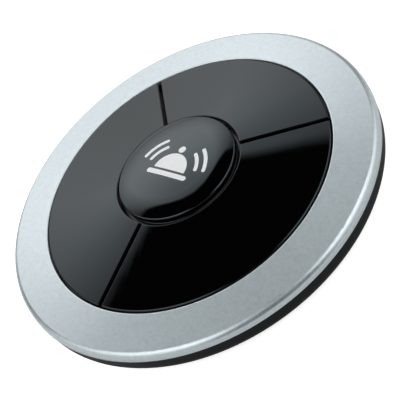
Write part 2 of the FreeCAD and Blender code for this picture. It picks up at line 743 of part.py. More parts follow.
def key_frame():
    """Frame under the keys: cone, collar round the centre key's stem, flange under the bezel."""
    piece = Piece("key_frame")
    sketch = piece.sketch("XZ_Plane")
    outline(sketch, [
        (COLLAR_INNER, COLLAR_BOTTOM),
        (CENTRE_EDGE, COLLAR_BOTTOM),
        (OPENING, frame_bottom(OPENING)),
        (FRAME_EDGE, FLANGE_BOTTOM),
        (FRAME_EDGE, FLANGE_TOP),
        (OPENING, frame_top(OPENING)),
        (CENTRE_EDGE, frame_top(CENTRE_EDGE)),
        (CENTRE_EDGE, COLLAR_TOP),
        (COLLAR_INNER, COLLAR_TOP),
    ])
    piece.revolve("cone", sketch)
    rims = piece.rings(COLLAR_INNER, COLLAR_TOP) + piece.rings(CENTRE_EDGE, COLLAR_TOP)
    piece.round_off("collar_edge", rims, S.collar_rounding)

    half = S.guide_width / 2 + S.slide_gap
    beyond = CENTRE_EDGE + S.slide_gap
    sketch = piece.sketch(lift=COLLAR_BOTTOM + S.guide_rise + S.seat_gap)
    box(sketch, -beyond, beyond, -half, half)
    piece.pocket("guide_notches", sketch, S.guide_rise + S.frame_skin)

    boss_bottom = PILLAR_TOP + S.seat_gap
    sketch = piece.sketch(lift=boss_bottom)
    circle(sketch, SCREW_CIRCLE, 0, SCREW_BOSS_EDGE)
    boss_top = under_bezel(SCREW_CIRCLE + SCREW_BOSS_EDGE)
    boss = piece.pad("screw_boss", sketch, boss_top - boss_bottom)
    sketch = piece.sketch(lift=FLANGE_BOTTOM)
    circle(sketch, SCREW_CIRCLE, 0, SCREW_RADIUS + S.seat_gap / 2)
    bore = piece.pocket("screw_bore", sketch, FLANGE_BOTTOM)
    piece.repeat("screw_bosses", [boss, bore], S.screw_count)

    sketch = piece.sketch(lift=BOARD_TOP)
    for angle in GROOVES:
        circle(sketch, *polar(BOARD_SCREW_CIRCLE, angle), BOARD_BOSS_EDGE)
    piece.pad("board_bosses", sketch, BOARD_BOSS_TOP - BOARD_TOP)
    sketch = piece.sketch(lift=BOARD_BORE_TOP)
    for angle in GROOVES:
        circle(sketch, *polar(BOARD_SCREW_CIRCLE, angle), BOARD_SCREW_RADIUS + S.seat_gap / 2)
    piece.pocket("board_bores", sketch, BOARD_BORE_TOP)

    sketch = piece.sketch(lift=CLEAR)
    for angle, _ in SECTORS.values():
        circle(sketch, *polar(SWITCH_CIRCLE, angle), S.window_radius)
    piece.pocket("windows", sketch, CLEAR)

    sketch = piece.sketch(lift=CLEAR)
    for angle, span in SECTORS.values():
        for radius, aside in hook_places(span):
            half = S.hook_width / 2 + S.hook_gap
            low = radius - S.hook_barb - S.hook_gap
            high = radius + S.hook_wall + S.hook_gap
            box(sketch, low, high, -half, half, turn=angle + aside)
    piece.pocket("hook_slots", sketch, CLEAR)
    return piece


# ---------------------------------------------------------------------------------------------
# Keys
# ---------------------------------------------------------------------------------------------


def hook_places(span):
    """Radius and angle from the key's middle of each hook of a sector key."""
    aside = span / 2 * S.hook_spread
    outer = SECTOR_OUTER - S.outer_hook_inset
    inner = SECTOR_INNER + S.inner_hook_inset
    return (outer, aside), (outer, -aside), (inner, span * 0)


def centre_key():
    """Centre key: crowned cap, brim over the collar, post, and flange under the collar."""
    piece = Piece("centre_key")
    ceiling = S.crown_radius - S.centre_skin
    inner = STEM_EDGE - S.centre_skin
    post = S.plunger_diameter / 2
    flange_top = COLLAR_BOTTOM - S.seat_gap
    flange_bottom = flange_top - S.flange_rise
    flange_edge = COLLAR_INNER + S.flange_reach
    sketch = piece.sketch("XZ_Plane")
    outline(sketch, [
        (0, PLUNGER_TOP),
        (post, PLUNGER_TOP),
        (post, CROWN_MIDDLE + root(ceiling * ceiling - post * post), Bow(ceiling, -1)),
        (inner, CROWN_MIDDLE + root(ceiling * ceiling - inner * inner)),
        (inner, flange_bottom),
        (flange_edge, flange_bottom),
        (flange_edge, flange_top),
        (STEM_EDGE, flange_top),
        (STEM_EDGE, BRIM_BOTTOM),
        (CENTRE_EDGE, BRIM_BOTTOM),
        (CENTRE_EDGE, BRIM_TOP, Bow(S.shoulder_radius)),
        (S.shoulder_start, JOINT_LEVEL, Bow(S.crown_radius)),
        (0, CROWN_TOP),
    ])
    piece.revolve("cap", sketch)
    piece.round_off("brim", piece.rings(CENTRE_EDGE, BRIM_TOP), S.brim_rounding)

    half = S.guide_width / 2
    sketch = piece.sketch(lift=flange_bottom)
    rib_inner, rib_outer = (inner + STEM_EDGE) / 2, flange_edge - S.seat_gap
    box(sketch, rib_inner, rib_outer, -half, half)
    box(sketch, -rib_outer, -rib_inner, -half, half)
    piece.pad("guide_ribs", sketch, COLLAR_BOTTOM + S.guide_rise - flange_bottom)
    return piece


def sector_key(side, middle, span):
    """Sector key: conical cap with rounded edges, a post over its switch and three snap hooks."""
    piece = Piece(f"sector_key_{side}")
    half_gap = S.groove_gap / 2
    edge = span / 2
    corners = []
    for radius in (SECTOR_INNER, SECTOR_OUTER):
        along = root(radius * radius - half_gap * half_gap)
        corners.append(turned(along, -half_gap, edge))
    (inner_x, inner_y), (outer_x, outer_y) = corners
    sketch = piece.sketch(lift=FLOOR_TOP)
    outline(sketch, [
        (inner_x, inner_y, Bow(SECTOR_INNER, -1)),
        (inner_x, -inner_y),
        (outer_x, -outer_y, Bow(SECTOR_OUTER)),
        (outer_x, outer_y),
    ])
    piece.pad("plan", sketch, CLEAR - FLOOR_TOP)

    near, far = SECTOR_INNER - S.ring_gap, OPENING
    beyond = CLEAR + S.key_skin
    sketch = piece.sketch("XZ_Plane")
    outline(sketch, [
        (near, key_level(near)), (far, key_level(far)), (far, beyond), (near, beyond)])
    piece.groove("upper_cone", sketch)
    skin = S.key_skin
    below = FLOOR_TOP - S.key_skin
    sketch = piece.sketch("XZ_Plane")
    outline(sketch, [
        (near, below), (far, below), (far, key_level(far) - skin), (near, key_level(near) - skin)])
    piece.groove("lower_cone", sketch)
    middle_level = key_level((SECTOR_INNER + SECTOR_OUTER) / 2).value - skin.value / 2
    rims = piece.face_edges(lambda face: isinstance(face.Surface, Part.Cone)
                            and face.CenterOfMass.z > middle_level)
    piece.round_off("rim", rims, S.key_rounding)

    sketch = piece.sketch(lift=PLUNGER_TOP)
    circle(sketch, SWITCH_CIRCLE, 0, S.plunger_diameter / 2)
    piece.pad("post", sketch, key_level(SWITCH_CIRCLE) - skin / 2 - PLUNGER_TOP)

    for radius, aside in hook_places(span):
        leg_outer = radius + S.hook_wall
        barb_edge = leg_outer + S.hook_barb
        barb_top = frame_bottom(barb_edge) - S.seat_gap
        barb_bottom = barb_top - S.hook_rise
        sketch = piece.sketch("XZ_Plane", turn=aside)
        outline(sketch, [
            (radius, barb_bottom),
            (leg_outer, barb_bottom),
            (barb_edge, barb_bottom + S.hook_barb / 2),
            (barb_edge, barb_top),
            (leg_outer, barb_top),
            (leg_outer, key_level(leg_outer) - skin / 2),
            (radius, key_level(leg_outer) - skin / 2),
        ])
        piece.pad("hook", sketch, S.hook_width, both_ways=True)
    piece.place(turn=middle)
    return piece


# ---------------------------------------------------------------------------------------------
# Circuit board and switches
# ---------------------------------------------------------------------------------------------


def circuit_board():
    """Round circuit board with its screw holes."""
    piece = Piece("circuit_board")
    sketch = piece.sketch(lift=BOARD_BOTTOM)
    circle(sketch, 0, 0, BOARD_EDGE)
    for angle in GROOVES:
        circle(sketch, *polar(BOARD_SCREW_CIRCLE, angle), BOARD_SCREW_RADIUS + S.seat_gap)
    piece.pad("plate", sketch, S.board_skin)
    return piece


def switch_places():
    """Name, x, y and turn of each switch."""
    yield "centre", None, None, sized(LEGEND_UP)
    for side, (middle, _) in SECTORS.items():
        x, y = polar(SWITCH_CIRCLE, middle)
        yield side, x, y, middle


def switch_case(side, x, y, turn):
    """Black case of a tact switch, open at the top, with two terminals on each side."""
    piece = Piece(f"switch_case_{side}")
    half = S.switch_side / 2
    sketch = piece.sketch()
    box(sketch, -half, half, -half, half)
    piece.pad("block", sketch, S.switch_case)
    sketch = piece.sketch(lift=S.switch_case)
    circle(sketch, 0, 0, S.plunger_diameter / 2 + S.plunger_flange + S.plunger_gap)
    piece.pocket("cavity", sketch, S.switch_case - S.switch_floor)
    sketch = piece.sketch()
    far, aside = half + S.lead_reach, S.lead_width / 2
    for low, high in ((-far, -half), (half, far)):
        for middle in (-half / 2, half / 2):
            box(sketch, low, high, middle - aside, middle + aside)
    piece.pad("terminals", sketch, S.switch_plate)
    piece.place(x, y, BOARD_TOP, turn)
    return piece


def switch_cover(side, x, y, turn):
    """Metal cover of a tact switch, with a hole for the plunger and two folded ears."""
    piece = Piece(f"switch_cover_{side}")
    half = S.switch_side / 2
    sketch = piece.sketch(lift=S.switch_case)
    box(sketch, -half, half, -half, half)
    circle(sketch, 0, 0, S.plunger_diameter / 2 + S.plunger_gap)
    piece.pad("plate", sketch, S.switch_plate)
    sketch = piece.sketch(lift=S.switch_case - S.ear_height)
    ear = S.ear_width / 2
    box(sketch, -ear, ear, half, half + S.switch_plate)
    box(sketch, -ear, ear, -half - S.switch_plate, -half)
    piece.pad("ears", sketch, S.ear_height + S.switch_plate)
    piece.place(x, y, BOARD_TOP, turn)
    return piece


def switch_dome(side, x, y, turn):
    """Sprung metal dome that snaps under the plunger."""
    piece = Piece(f"switch_dome_{side}")
    edge = S.plunger_diameter / 2 + S.plunger_flange
    rise = S.dome_height
    bend = (edge * edge + rise * rise) / (rise * 2)
    peak = S.switch_floor + rise
    inside = bend - S.dome_sheet
    foot = root(inside * inside - (bend - rise) * (bend - rise))
    sketch = piece.sketch("XZ_Plane")
    outline(sketch, [
        (0, peak - S.dome_sheet, Bow(inside, -1)),
        (foot, S.switch_floor),
        (edge, S.switch_floor, Bow(bend)),
        (0, peak),
    ])
    piece.revolve("cap", sketch)
    piece.place(x, y, BOARD_TOP, turn)
    return piece


def switch_plunger(side, x, y, turn):
    """Plunger between the snap dome and the key's post."""
    piece = Piece(f"switch_plunger_{side}")
    stem = S.plunger_diameter / 2
    edge = stem + S.plunger_flange
    bottom = S.switch_floor + S.dome_height
    shelf = S.switch_case - S.seat_gap / 2
    sketch = piece.sketch("XZ_Plane")
    outline(sketch, [
        (0, bottom), (edge, bottom), (edge, shelf), (stem, shelf), (stem, S.switch_height),
        (0, S.switch_height)])
    piece.revolve("stem", sketch)
    piece.place(x, y, BOARD_TOP, turn)
    return piece


def hang(piece, angle):
    """Turn a piece upside down under the board, at an angle round the middle."""
    over = FreeCAD.Rotation(FreeCAD.Vector(1, 0, 0), FULL_TURN / 2)
    piece.body.Placement = FreeCAD.Placement(FreeCAD.Vector(), over)
    x, y = polar(CHIP_CIRCLE, angle)
    piece.place(x, y, BOARD_BOTTOM)


def chip(label, angle, length, width, height, pins):
    """Moulded chip with bent legs along both long sides, hung under the board."""
    piece = Piece(label)
    sketch = piece.sketch(lift=S.leg_sheet / 2)
    box(sketch, -length / 2, length / 2, -width / 2, width / 2)
    piece.pad("case", sketch, height - S.leg_sheet / 2)
    number = int(sized(pins).value)
    for side, aside in (("near", -1), ("far", 1)):
        sketch = piece.sketch("YZ_Plane", lift=-S.chip_pitch * (number - 1) / 2 - S.leg_width / 2)
        inner, knee = width / 2 * aside, (width + S.leg_reach) / 2 * aside
        tip, sheet = (width / 2 + S.leg_reach) * aside, S.leg_sheet * aside
        middle = height / 2
        outline(sketch, [
            (inner, middle),
            (knee, middle),
            (knee, S.leg_sheet),
            (tip, S.leg_sheet),
            (tip, 0),
            (knee - sheet, 0),
            (knee - sheet, middle - S.leg_sheet),
            (inner, middle - S.leg_sheet),
        ])
        leg = piece.pad(f"leg_{side}", sketch, S.leg_width)
        if number > 1:
            piece.row(f"legs_{side}", leg, S.chip_pitch * (number - 1), pins)
    hang(piece, angle)
    return piece


def resonator():
    """Square resonator with a stepped metal lid, hung under the board."""
    piece = Piece("resonator")
    half = S.resonator_side / 2
    sketch = piece.sketch()
    box(sketch, -half, half, -half, half)
    piece.pad("tray", sketch, S.resonator_height - S.lid_rise)
    lid = half - S.lid_inset
    sketch = piece.sketch(lift=S.resonator_height - S.lid_rise)
    box(sketch, -lid, lid, -lid, lid)
    piece.pad("lid", sketch, S.lid_rise)
    hang(piece, S.resonator_angle)
    return piece


def small_chips(label, angle, height):
    """Row of small chips with raised end caps, hung under the board."""
    piece = Piece(label)
    number = int(S.small_count.value)
    length, width = S.small_length / 2, S.small_width / 2
    cap = S.end_length
    bodies = ("bodies", length - cap, height - S.end_sheet)
    for part, reach, rise in (bodies, ("caps", length, height)):
        sketch = piece.sketch()
        for index in range(number):
            middle = S.small_pitch * (index - (number - 1) / 2)
            low, high = middle - width, middle + width
            if part == "bodies":
                box(sketch, -reach, reach, low, high)
            else:
                box(sketch, -length, cap - length, low, high)
                box(sketch, length - cap, length, low, high)
        piece.pad(part, sketch, rise)
    hang(piece, angle)
    return piece


def loop_antenna():
    """Wire loop under the board's edge, with a leg up to the board at each end."""
    piece = Piece("loop_antenna")
    level = BOARD_BOTTOM - S.antenna_drop
    radius = S.antenna_wire / 2
    sketch = piece.sketch("XZ_Plane")
    circle(sketch, ANTENNA_CIRCLE, level, radius)
    piece.revolve("wire", sketch, sweep=S.antenna_sweep)
    for end in (-1, 1):
        sketch = piece.sketch(lift=level)
        circle(sketch, *polar(ANTENNA_CIRCLE, S.antenna_sweep / 2 * end), radius)
        piece.pad("leg", sketch, S.antenna_drop)
    piece.place(turn=S.antenna_start + S.antenna_sweep / 2)
    return piece


# ---------------------------------------------------------------------------------------------
# Battery
# ---------------------------------------------------------------------------------------------


def battery_door():
    """Round battery door: coin slot outside, neck and three bayonet lugs inside."""
    piece = Piece("battery_door")
    sketch = piece.sketch("XZ_Plane")
    outline(sketch, [
        (0, S.underside_height),
        (DOOR_EDGE, S.underside_height),
        (DOOR_EDGE, DOOR_TOP),
        (NECK_OUTER, DOOR_TOP),
        (NECK_OUTER, LUG_TOP),
        (NECK_INNER, LUG_TOP),
        (NECK_INNER, DOOR_TOP),
        (0, DOOR_TOP),
    ])
    piece.revolve("disc", sketch)
    piece.round_off("edge", piece.rings(DOOR_EDGE, S.underside_height), S.lip_rounding)
    sketch = piece.sketch(lift=LUG_BOTTOM)
    half = S.lug_width / 2
    box(sketch, (NECK_INNER + NECK_OUTER) / 2, LUG_EDGE, -half, half)
    lug = piece.pad("lug", sketch, S.lug_rise)
    piece.repeat("lugs", [lug], S.lug_count)
    sketch = piece.sketch(lift=S.underside_height + S.slot_depth)
    half = S.slot_width / 2
    box(sketch, -S.slot_length / 2, S.slot_length / 2, -half, half)
    piece.pocket("coin_slot", sketch, S.underside_height)
    return piece


def coin_cell():
    """Coin cell: steel can with rounded lower edge and the smaller cap on top."""
    piece = Piece("coin_cell")
    cap_edge = CELL_EDGE - S.cap_inset
    can_top = CELL_TOP - S.cap_rise
    sketch = piece.sketch("XZ_Plane")
    outline(sketch, [
        (0, CELL_BOTTOM),
        (CELL_EDGE, CELL_BOTTOM),
        (CELL_EDGE, can_top),
        (cap_edge, can_top),
        (cap_edge, CELL_TOP),
        (0, CELL_TOP),
    ])
    piece.revolve("can", sketch)
    piece.round_off("edge", piece.rings(CELL_EDGE, CELL_BOTTOM), S.cell_rounding)
    piece.round_off("crimp", piece.rings(CELL_EDGE, can_top), S.cell_rounding)
    return piece


def battery_holder():
    """Moulded ring under the board that keeps the cell central, cut through for the clip."""
    piece = Piece("battery_holder")
    sketch = piece.sketch(lift=HOLDER_BOTTOM)
    circle(sketch, 0, 0, HOLDER_INNER)
    circle(sketch, 0, 0, HOLDER_OUTER)
    piece.pad("ring", sketch, BOARD_BOTTOM - HOLDER_BOTTOM)
    sketch = piece.sketch(lift=BOARD_BOTTOM)
    half = S.clip_width / 2 + S.seat_gap
    box(sketch, HOLDER_INNER / 2, HOLDER_OUTER * 2, -half, half)
    piece.pocket("window", sketch, BOARD_BOTTOM - HOLDER_BOTTOM)
    return piece


def positive_clip():
    """Sprung strip that touches the cell's side, with a foot soldered to the board."""
    piece = Piece("positive_clip")
    touch = CELL_EDGE + S.seat_gap
    sheet = S.clip_sheet
    sketch = piece.sketch("XZ_Plane")
    outline(sketch, [
        (touch, HOLDER_BOTTOM),
        (touch + sheet, HOLDER_BOTTOM),
        (touch + sheet, BOARD_BOTTOM - sheet),
        (HOLDER_OUTER, BOARD_BOTTOM - sheet),
        (HOLDER_OUTER, BOARD_BOTTOM),
        (touch, BOARD_BOTTOM),
    ])
    piece.pad("strip", sketch, S.clip_width, both_ways=True)
    return piece


def negative_contact():
    """Sheet disc between the board and the cell's cap, with three arms cut free."""
    piece = Piece("negative_contact")
    reach = S.contact_radius
    sketch = piece.sketch(lift=CELL_TOP)
    circle(sketch, 0, 0, reach)
    piece.pad("disc", sketch, S.clip_sheet)
    sketch = piece.sketch(lift=BOARD_BOTTOM)
    box(sketch, reach / 3, reach * 4 / 5, S.arm_slot, S.arm_slot * 2)
    cut = piece.pocket("slot", sketch, S.clip_sheet)
    piece.repeat("slots", [cut], S.lug_count)
    return piece


# ---------------------------------------------------------------------------------------------
# Screws
# ---------------------------------------------------------------------------------------------


def screws(label, places, head, rise, thread, low, high):
    """Screws that point up: head radius and rise, thread radius, underside and tip heights."""
    piece = Piece(label)
    sketch = piece.sketch(lift=low)
    for x, y in places:
        circle(sketch, x, y, head)
    piece.pad("heads", sketch, rise)
    sketch = piece.sketch(lift=low + rise)
    for x, y in places:
        circle(sketch, x, y, thread)
    piece.pad("shanks", sketch, high - low - rise)
    sketch = piece.sketch(lift=low + S.recess_depth)
    for x, y in places:
        cross(sketch, x, y, head * S.recess_share, S.recess_width)
    piece.pocket("recesses", sketch, S.recess_depth)
    return piece


def housing_screws():
    """Screws through the base's pillars into the frame's bosses."""
    places = [polar(SCREW_CIRCLE, angle) for angle in spread(S.screw_count)]
    low = S.underside_height + S.seat_gap
    return screws("housing_screws", places, S.screw_head / 2, S.screw_head_rise,
                  SCREW_RADIUS, low, FLANGE_BOTTOM - S.seat_gap)


def board_screws():
    """Screws through the board into the frame's bosses."""
    places = [polar(BOARD_SCREW_CIRCLE, angle) for angle in GROOVES]
    low = BOARD_BOTTOM - S.board_screw_rise
    return screws("board_screws", places, S.board_screw_head / 2, S.board_screw_rise,
                  BOARD_SCREW_RADIUS, low, BOARD_BORE_TOP - S.seat_gap)


def spread(count):
    """Angles of a number of places evenly round a circle."""
    number = int(count.value)
    return [FULL_TURN / number * index for index in range(number)]


# ---------------------------------------------------------------------------------------------
# Build, test and write
# ---------------------------------------------------------------------------------------------


def build():
    """All sub-parts of the button."""
    pieces = [base_shell(), bezel_ring(), rubber_feet(), key_frame(), centre_key()]
    for side, (middle, span) in SECTORS.items():
        pieces.append(sector_key(side, middle, span))
    pieces.append(circuit_board())
    for side, x, y, turn in switch_places():
        for make in (switch_case, switch_cover, switch_dome, switch_plunger):
            pieces.append(make(side, x, y, turn))
    pieces += [battery_door(), coin_cell(), battery_holder(), positive_clip(), negative_contact()]
    pieces.append(chip("encoder_chip", S.encoder_angle, S.encoder_length, S.encoder_width,
                       S.encoder_height, S.encoder_legs))
    pieces.append(chip("transistor", S.transistor_angle, S.transistor_length, S.transistor_width,
                       S.transistor_height, 1))
    pieces.append(small_chips("chip_resistors", S.resistor_angle, S.resistor_height))
    pieces.append(small_chips("chip_capacitors", S.capacitor_angle, S.capacitor_height))
    pieces += [resonator(), loop_antenna(), housing_screws(), board_screws()]
    return pieces


def check(pieces):
    """Stop if any object failed or any sub-part isn't a valid solid."""
    for item in DOC.Objects:
        if {"Invalid", "Error"} & set(item.State):
            raise ValueError(f"{item.Name} failed: {item.State}")
    for piece in pieces:
        shape = piece.body.Shape
        if shape.isNull() or not shape.isValid() or not shape.Solids:
            raise ValueError(f"{piece.label} isn't a valid solid")


def write(pieces):
    """Write each sub-part to a STEP file of its own name."""
    os.makedirs("parts", exist_ok=True)
    for piece in pieces:
        piece.body.Shape.exportStep(os.path.join("parts", f"{piece.label}.step"))
        box_size = piece.body.Shape.BoundBox
        print(f"{piece.label}: {len(piece.body.Shape.Solids)} solid(s), "
              f"{piece.body.Shape.Volume:.1f} mm3, z {box_size.ZMin:.2f} to {box_size.ZMax:.2f}")


PIECES = build()
check(PIECES)
write(PIECES)
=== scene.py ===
"""Looks, light and camera of a waiter call button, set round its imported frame.

Metres. +Z is up, the origin is on the desk under the middle of the button, +Y is the top of its
legend. Every size below is a length in metres unless its name says otherwise.
"""

import logging
import math
from dataclasses import dataclass, field
from enum import Enum
from functools import cached_property
from typing import Optional, Protocol, Union

import bmesh
import bpy
from mathutils import Matrix, Vector
from mathutils.bvhtree import BVHTree


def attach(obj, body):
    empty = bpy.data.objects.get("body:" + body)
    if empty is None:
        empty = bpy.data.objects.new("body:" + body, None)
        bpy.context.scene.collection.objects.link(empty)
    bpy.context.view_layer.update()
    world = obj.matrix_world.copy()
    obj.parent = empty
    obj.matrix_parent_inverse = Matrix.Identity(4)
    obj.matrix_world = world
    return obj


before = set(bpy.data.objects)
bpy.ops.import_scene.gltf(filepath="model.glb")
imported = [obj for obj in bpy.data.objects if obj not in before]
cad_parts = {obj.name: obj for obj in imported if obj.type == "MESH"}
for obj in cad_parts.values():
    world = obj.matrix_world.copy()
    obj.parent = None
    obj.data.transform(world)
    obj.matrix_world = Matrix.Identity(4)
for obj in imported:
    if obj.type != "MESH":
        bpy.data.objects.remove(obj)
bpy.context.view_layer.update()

logging.basicConfig(level=logging.INFO, format="%(name)s: %(message)s")
LOG = logging.getLogger("call_button")

MM = 0.001
Colour = tuple[float, float, float]
Range = tuple[float, float]
Socket = bpy.types.NodeSocket
Value = Union[float, Colour, Socket]

WHITE: Colour = (1.0, 1.0, 1.0)
BLACK: Colour = (0.0, 0.0, 0.0)


def place_shape(name: str, shape: bmesh.types.BMesh) -> bpy.types.Object:
    """Turn a finished shape into an object of the scene.

    Args:
        name: name of the object and of its mesh.
        shape: the shape, freed here.

    Returns:
        The object.
    """
    mesh = bpy.data.meshes.new(name)
    shape.to_mesh(mesh)
    shape.free()
    piece = bpy.data.objects.new(name, mesh)
    bpy.context.scene.collection.objects.link(piece)
    return piece


# ---------------------------------------------------------------------------------------------
# Node trees
# ---------------------------------------------------------------------------------------------


class Tree:
    """Node tree of a material or a world, with short calls for the nodes that they share."""

    MIX_INPUTS = (0, 6, 7)
    MIX_RESULT = 2

    def __init__(self, owner: Union[bpy.types.Material, bpy.types.World],
                 ending: str = "OutputMaterial") -> None:
        """Start an empty tree that holds only its output node.

        Args:
            owner: the material or world that the tree belongs to.
            ending: the output node's type name, without "ShaderNode".
        """
        owner.use_nodes = True
        self.owner = owner
        self.nodes = owner.node_tree.nodes
        self.links = owner.node_tree.links
        self.nodes.clear()
        self.output = self.node(ending)

    @classmethod
    def of_material(cls, name: str) -> "Tree":
        """Empty tree of a new material."""
        return cls(bpy.data.materials.new(name))

    @cached_property
    def coordinates(self) -> Socket:
        """The object's own coordinates."""
        return self.node("TexCoord").outputs["Object"]

    def node(self, kind: str, settings: Optional[dict] = None, **inputs: Value) -> bpy.types.Node:
        """Add a node.

        Args:
            kind: the node's type name, without "ShaderNode".
            settings: properties of the node itself.
            inputs: sockets by name, with underscores for spaces; a value or another socket.

        Returns:
            The new node.
        """
        made = self.nodes.new("ShaderNode" + kind)
        for key, value in (settings or {}).items():
            setattr(made, key, value)
        for key, value in inputs.items():
            self.feed(made.inputs[key.replace("_", " ")], value)
        return made

    def feed(self, socket: Socket, value: Value) -> None:
        """Set a socket to a value, or link another socket to it.

        Args:
            socket: the input.
            value: a number, a colour, a vector or an output socket.
        """
        if isinstance(value, Socket):
            self.links.new(value, socket)
        elif isinstance(value, tuple) and len(value) == 3 and socket.type == "RGBA":
            socket.default_value = (*value, 1.0)
        else:
            socket.default_value = value

    def feed_in_order(self, sockets: list[Socket], values: tuple[Value, ...]) -> None:
        """Feed several sockets, each with the value in the same place."""
        for socket, value in zip(sockets, values):
            self.feed(socket, value)

    def arithmetic(self, operation: str, *terms: Value) -> Socket:
        """Add a Math node.

        Args:
            operation: name of the node's operation.
            terms: its inputs in order.

        Returns:
            The result socket.
        """
        made = self.node("Math", {"operation": operation})
        self.feed_in_order(list(made.inputs), terms)
        return made.outputs[0]

    def noise(self, size: float, detail: float, vector: Optional[Socket] = None) -> Socket:
        """Noise whose features are about one size across.

        Args:
            size: width of a feature.
            detail: octaves of finer detail.
            vector: coordinates to read, the object's own by default.

        Returns:
            The factor socket.
        """
        made = self.node("TexNoise", Vector=vector or self.coordinates, Scale=1.0 / size,
                         Detail=detail)
        return made.outputs["Fac"]

    def ramp(self, factor: Socket, span: Range, start: float, end: float) -> Socket:
        """Map a factor from one range to another.

        Args:
            factor: socket to read.
            span: inputs that give start and end.
            start: value at the lower input.
            end: value at the higher input.

        Returns:
            The result socket.
        """
        share = self.node("MapRange", Value=factor, From_Min=span[0], From_Max=span[1],
                          To_Min=start, To_Max=end)
        return share.outputs["Result"]

    def tint(self, factor: Socket, span: Range, start: Colour, end: Colour) -> Socket:
        """Blend from one colour to another.

        Args:
            factor: socket to read.
            span: inputs that give start and end.
            start: colour at the lower input.
            end: colour at the higher input.

        Returns:
            The colour socket.
        """
        mix = self.node("Mix", {"data_type": "RGBA"})
        self.feed_in_order([mix.inputs[place] for place in self.MIX_INPUTS],
                           (self.ramp(factor, span, 0.0, 1.0), start, end))
        return mix.outputs[self.MIX_RESULT]

    def bump(self, height: Socket, depth: float, strength: float) -> Socket:
        """Bump from a height socket.

        Args:
            height: socket from 0 to 1.
            depth: height of 1.
            strength: share of the bump that shows.

        Returns:
            The normal socket.
        """
        return self.node("Bump", Height=height, Distance=depth,
                         Strength=strength).outputs["Normal"]

    def show(self, shader: bpy.types.Node) -> None:
        """End the tree in a shader."""
        self.links.new(shader.outputs[0], self.output.inputs["Surface"])

    def finish(self, **inputs: Value) -> bpy.types.Material:
        """End the tree in a Principled shader.

        Args:
            inputs: the shader's sockets by name, with underscores for spaces.

        Returns:
            The material.
        """
        self.show(self.node("BsdfPrincipled", **inputs))
        return self.owner


# ---------------------------------------------------------------------------------------------
# Finishes
# ---------------------------------------------------------------------------------------------


class Recipe(Protocol):
    """What every finish can do."""

    def material(self, name: str) -> bpy.types.Material:
        """Make a material of this name."""


@dataclass(frozen=True)
class SilverPaint:
    """Satin silver metallic paint under a thin lacquer: fine sand grain over soft clouds."""

    light: Colour = (0.61, 0.69, 0.722)
    dark: Colour = (0.52, 0.588, 0.618)
    grain: float = 0.35 * MM
    cloud: float = 1.1 * MM
    detail: float = 3.0
    grain_share: float = 0.6
    cloud_share: float = 0.4
    colour_span: Range = (0.35, 0.65)
    metallic: float = 0.8
    roughness: float = 0.36
    roughness_swing: float = 0.05
    roughness_span: Range = (0.3, 0.7)
    grain_depth: float = 0.02 * MM
    grain_strength: float = 0.35
    lacquer: float = 0.9
    lacquer_roughness: float = 0.12

    def material(self, name: str) -> bpy.types.Material:
        """Make the paint.

        Args:
            name: name of the material.

        Returns:
            The material.
        """
        tree = Tree.of_material(name)
        grain = tree.noise(self.grain, self.detail)
        cloud = tree.noise(self.cloud, self.detail)
        clouded = tree.arithmetic("MULTIPLY", cloud, self.cloud_share)
        both = tree.arithmetic("MULTIPLY_ADD", grain, self.grain_share, clouded)
        colour = tree.tint(both, self.colour_span, self.dark, self.light)
        rough = tree.ramp(grain, self.roughness_span, self.roughness - self.roughness_swing,
                          self.roughness + self.roughness_swing)
        normal = tree.bump(grain, self.grain_depth, self.grain_strength)
        return tree.finish(Base_Color=colour, Metallic=self.metallic, Roughness=rough,
                           Normal=normal, Coat_Weight=self.lacquer,
                           Coat_Roughness=self.lacquer_roughness)


@dataclass(frozen=True)
class GlossBlack:
    """Polished black plastic: even gloss, a trace of handling, cool reflections."""

    ior: float
    colour: Colour = (0.0009, 0.0009, 0.001)
    sheen: Colour = (0.76, 0.93, 1.0)
    roughness: float = 0.03
    roughness_swing: Range = (0.8, 1.5)
    roughness_span: Range = (0.35, 0.75)
    trace: float = 2.5 * MM
    trace_detail: float = 4.0
    trace_depth: float = 0.002 * MM
    trace_strength: float = 0.1

    def material(self, name: str) -> bpy.types.Material:
        """Make the plastic.

        Args:
            name: name of the material.

        Returns:
            The material.
        """
        tree = Tree.of_material(name)
        handled = tree.noise(self.trace, self.trace_detail)
        polished, dulled = (self.roughness * swing for swing in self.roughness_swing)
        rough = tree.ramp(handled, self.roughness_span, polished, dulled)
        normal = tree.bump(handled, self.trace_depth, self.trace_strength)
        return tree.finish(Base_Color=self.colour, Roughness=rough, Normal=normal,
                           IOR=self.ior, Specular_Tint=self.sheen)


@dataclass(frozen=True)
class MouldedPlastic:
    """Satin moulded plastic with a fine spark-eroded grain."""

    colour: Colour
    roughness: float = 0.45
    specular: float = 0.5
    smoother: float = 0.04
    rougher: float = 0.06
    lighter: float = 1.35
    lighter_least: float = 0.002
    grain: float = 0.16 * MM
    grain_depth: float = 0.012 * MM
    grain_strength: float = 0.4
    patch: float = 6.4 * MM
    patch_span: Range = (0.3, 0.7)
    detail: float = 2.0

    def material(self, name: str) -> bpy.types.Material:
        """Make the plastic.

        Args:
            name: name of the material.

        Returns:
            The material.
        """
        tree = Tree.of_material(name)
        grain = tree.noise(self.grain, self.detail)
        patch = tree.noise(self.patch, self.detail)
        lighter = tuple(min(1.0, part * self.lighter + self.lighter_least)
                        for part in self.colour)
        colour = tree.tint(patch, self.patch_span, self.colour, lighter)
        rough = tree.ramp(patch, self.patch_span, self.roughness - self.smoother,
                          self.roughness + self.rougher)
        normal = tree.bump(grain, self.grain_depth, self.grain_strength)
        return tree.finish(Base_Color=colour, Roughness=rough, Normal=normal,
                           Specular_IOR_Level=self.specular)


